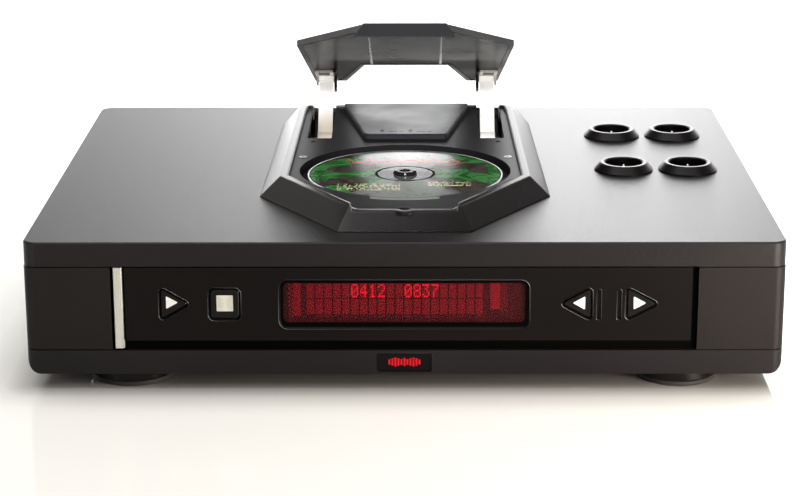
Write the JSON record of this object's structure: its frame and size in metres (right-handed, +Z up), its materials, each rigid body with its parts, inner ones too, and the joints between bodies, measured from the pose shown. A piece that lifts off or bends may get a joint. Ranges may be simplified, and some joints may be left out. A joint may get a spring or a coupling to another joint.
{
  "type": "disc player",
  "caption": "Top-loading audio disc player: low wide black case, octagonal disc well with a swing-back door on two arms, vented valves and a red dot display.",
  "frame": {"origin": "centre of the overall box at the surface it stands on", "axes": "+X to the right seen from the front, -Y out of the front panel, +Z up"},
  "size_m": [0.433, 0.3784, 0.1888],
  "materials": {
    "case_black": "fine textured satin black powder coat",
    "fascia_black": "satin black",
    "inner_black": "matte black",
    "polished_trim": "brushed, polished edge",
    "display_tint": "glossy tinted red",
    "display_glow": "glowing dot matrix",
    "badge_gloss": "glossy black",
    "badge_glow": "glowing red",
    "button_black": "satin black",
    "insert_white": "white",
    "insert_silver": "spun",
    "well_black": "fine satin charcoal",
    "cover_gloss": "gloss black",
    "bright_steel": "bright",
    "lid_black": "satin black",
    "liner_gloss": "mirror gloss black",
    "polished_arm": "polished",
    "disc_print": "printed label under clear lacquer",
    "hub_black": "satin black",
    "motor_steel": "zinc plated",
    "chassis_steel": "dark plated",
    "rubber_black": "matte",
    "lens_glass": "coated",
    "valve_glass": "clear",
    "ceramic_cream": "glazed",
    "board_green": "solder mask",
    "can_blue": "sleeved cans",
    "winding": "taped winding",
    "jack_gold": "gold plated",
    "jack_black": "moulded black",
    "screw_steel": "bright zinc"
  },
  "bodies": {
    "case": {"base_tray": "case_black", "side_panel_left": "case_black", "side_panel_right": "case_black", "rear_panel": "case_black", "top_cover": "case_black", "fascia_panel": "fascia_black", "fascia_backer": "inner_black", "trim_bar": "polished_trim", "display_window": "display_tint", "display_module": "display_glow", "front_board": "board_green", "badge_window": "badge_gloss", "badge_light": "badge_glow", "door_surround": "case_black", "well_plate": "well_black", "transport_cover": "cover_gloss", "well_screws": "bright_steel", "hinge_blocks": "chassis_steel", "spindle_motor": "motor_steel", "mech_chassis": "chassis_steel", "mech_grommets": "rubber_black", "guide_rod": "motor_steel", "sled_motor": "motor_steel", "vent_rings": "case_black", "valves": "valve_glass", "valve_sockets": "ceramic_cream", "main_board": "board_green", "capacitors": "can_blue", "transformer": "winding", "power_inlet": "jack_black", "switch_housing": "jack_black", "line_jacks": "jack_gold", "balanced_jacks": "jack_black", "digital_jacks": "jack_black", "feet": "button_black", "foot_pads": "rubber_black", "case_screws": "screw_steel"},
    "door_arms": {"door_arm_left": "polished_arm", "door_arm_right": "polished_arm", "hinge_shaft": "motor_steel"},
    "door": {"lid_shell": "lid_black", "lid_liner": "liner_gloss", "lid_brackets": "bright_steel", "lid_pins": "bright_steel"},
    "rotor": {"spindle_hub": "hub_black", "hub_balls": "bright_steel", "spindle_shaft": "motor_steel"},
    "disc": {"disc": "disc_print"},
    "sled": {"laser_sled": "hub_black", "objective_lens": "lens_glass"},
    "screw": {"lead_screw": "motor_steel"},
    "play": {"play_button": "button_black", "play_insert": "insert_white"},
    "stop": {"stop_button": "button_black", "stop_insert": "insert_silver"},
    "previous": {"previous_button": "button_black", "previous_insert": "insert_white"},
    "next": {"next_button": "button_black", "next_insert": "insert_white"},
    "rocker": {"power_rocker": "jack_black"}
  },
  "joints": [
    {"name": "door_swing", "type": "hinge", "parent": "case", "child": "door_arms", "pos_m": [0, 0.1171, 0.07235], "axis": [-1, 0, 0], "range_deg": [-110.87, 0]},
    {"name": "door_tilt", "type": "hinge", "parent": "door_arms", "child": "door", "pos_m": [0, 0.15366, 0.10765], "axis": [1, 0, 0], "range_deg": [-92.05, 0]},
    {"name": "disc_spin", "type": "hinge", "parent": "case", "child": "rotor", "pos_m": [0, -0.0619, 0.09235], "axis": [0, 0, -1], "continuous": true},
    {"name": "disc_lift", "type": "slide", "parent": "rotor", "child": "disc", "axis": [0, 0, 1], "range_m": [0, 0.02]},
    {"name": "screw_turn", "type": "hinge", "parent": "case", "child": "screw", "pos_m": [-0.02, -0.0159, 0.08335], "axis": [0, 1, 0], "range_deg": [0, 4080.5]},
    {"name": "sled_travel", "type": "slide", "parent": "case", "child": "sled", "axis": [0, 1, 0], "range_m": [0, 0.034]},
    {"name": "play_press", "type": "slide", "parent": "case", "child": "play", "axis": [0, 1, 0], "range_m": [0, 0.0012], "stiffness_N_per_m": 400, "springref_m": -0.001},
    {"name": "stop_press", "type": "slide", "parent": "case", "child": "stop", "axis": [0, 1, 0], "range_m": [0, 0.0012], "stiffness_N_per_m": 400, "springref_m": -0.001},
    {"name": "previous_press", "type": "slide", "parent": "case", "child": "previous", "axis": [0, 1, 0], "range_m": [0, 0.0012], "stiffness_N_per_m": 400, "springref_m": -0.001},
    {"name": "next_press", "type": "slide", "parent": "case", "child": "next", "axis": [0, 1, 0], "range_m": [0, 0.0012], "stiffness_N_per_m": 400, "springref_m": -0.001},
    {"name": "power_rock", "type": "hinge", "parent": "case", "child": "rocker", "pos_m": [-0.125, 0.15448, 0.047], "axis": [-1, 0, 0], "range_deg": [0, 18]}
  ],
  "couplings": [
    {"joint": "door_swing", "follows": "door_tilt", "ratio": 1.2042},
    {"joint": "screw_turn", "follows": "sled_travel", "rad_per_m": 2094.4}
  ]
}
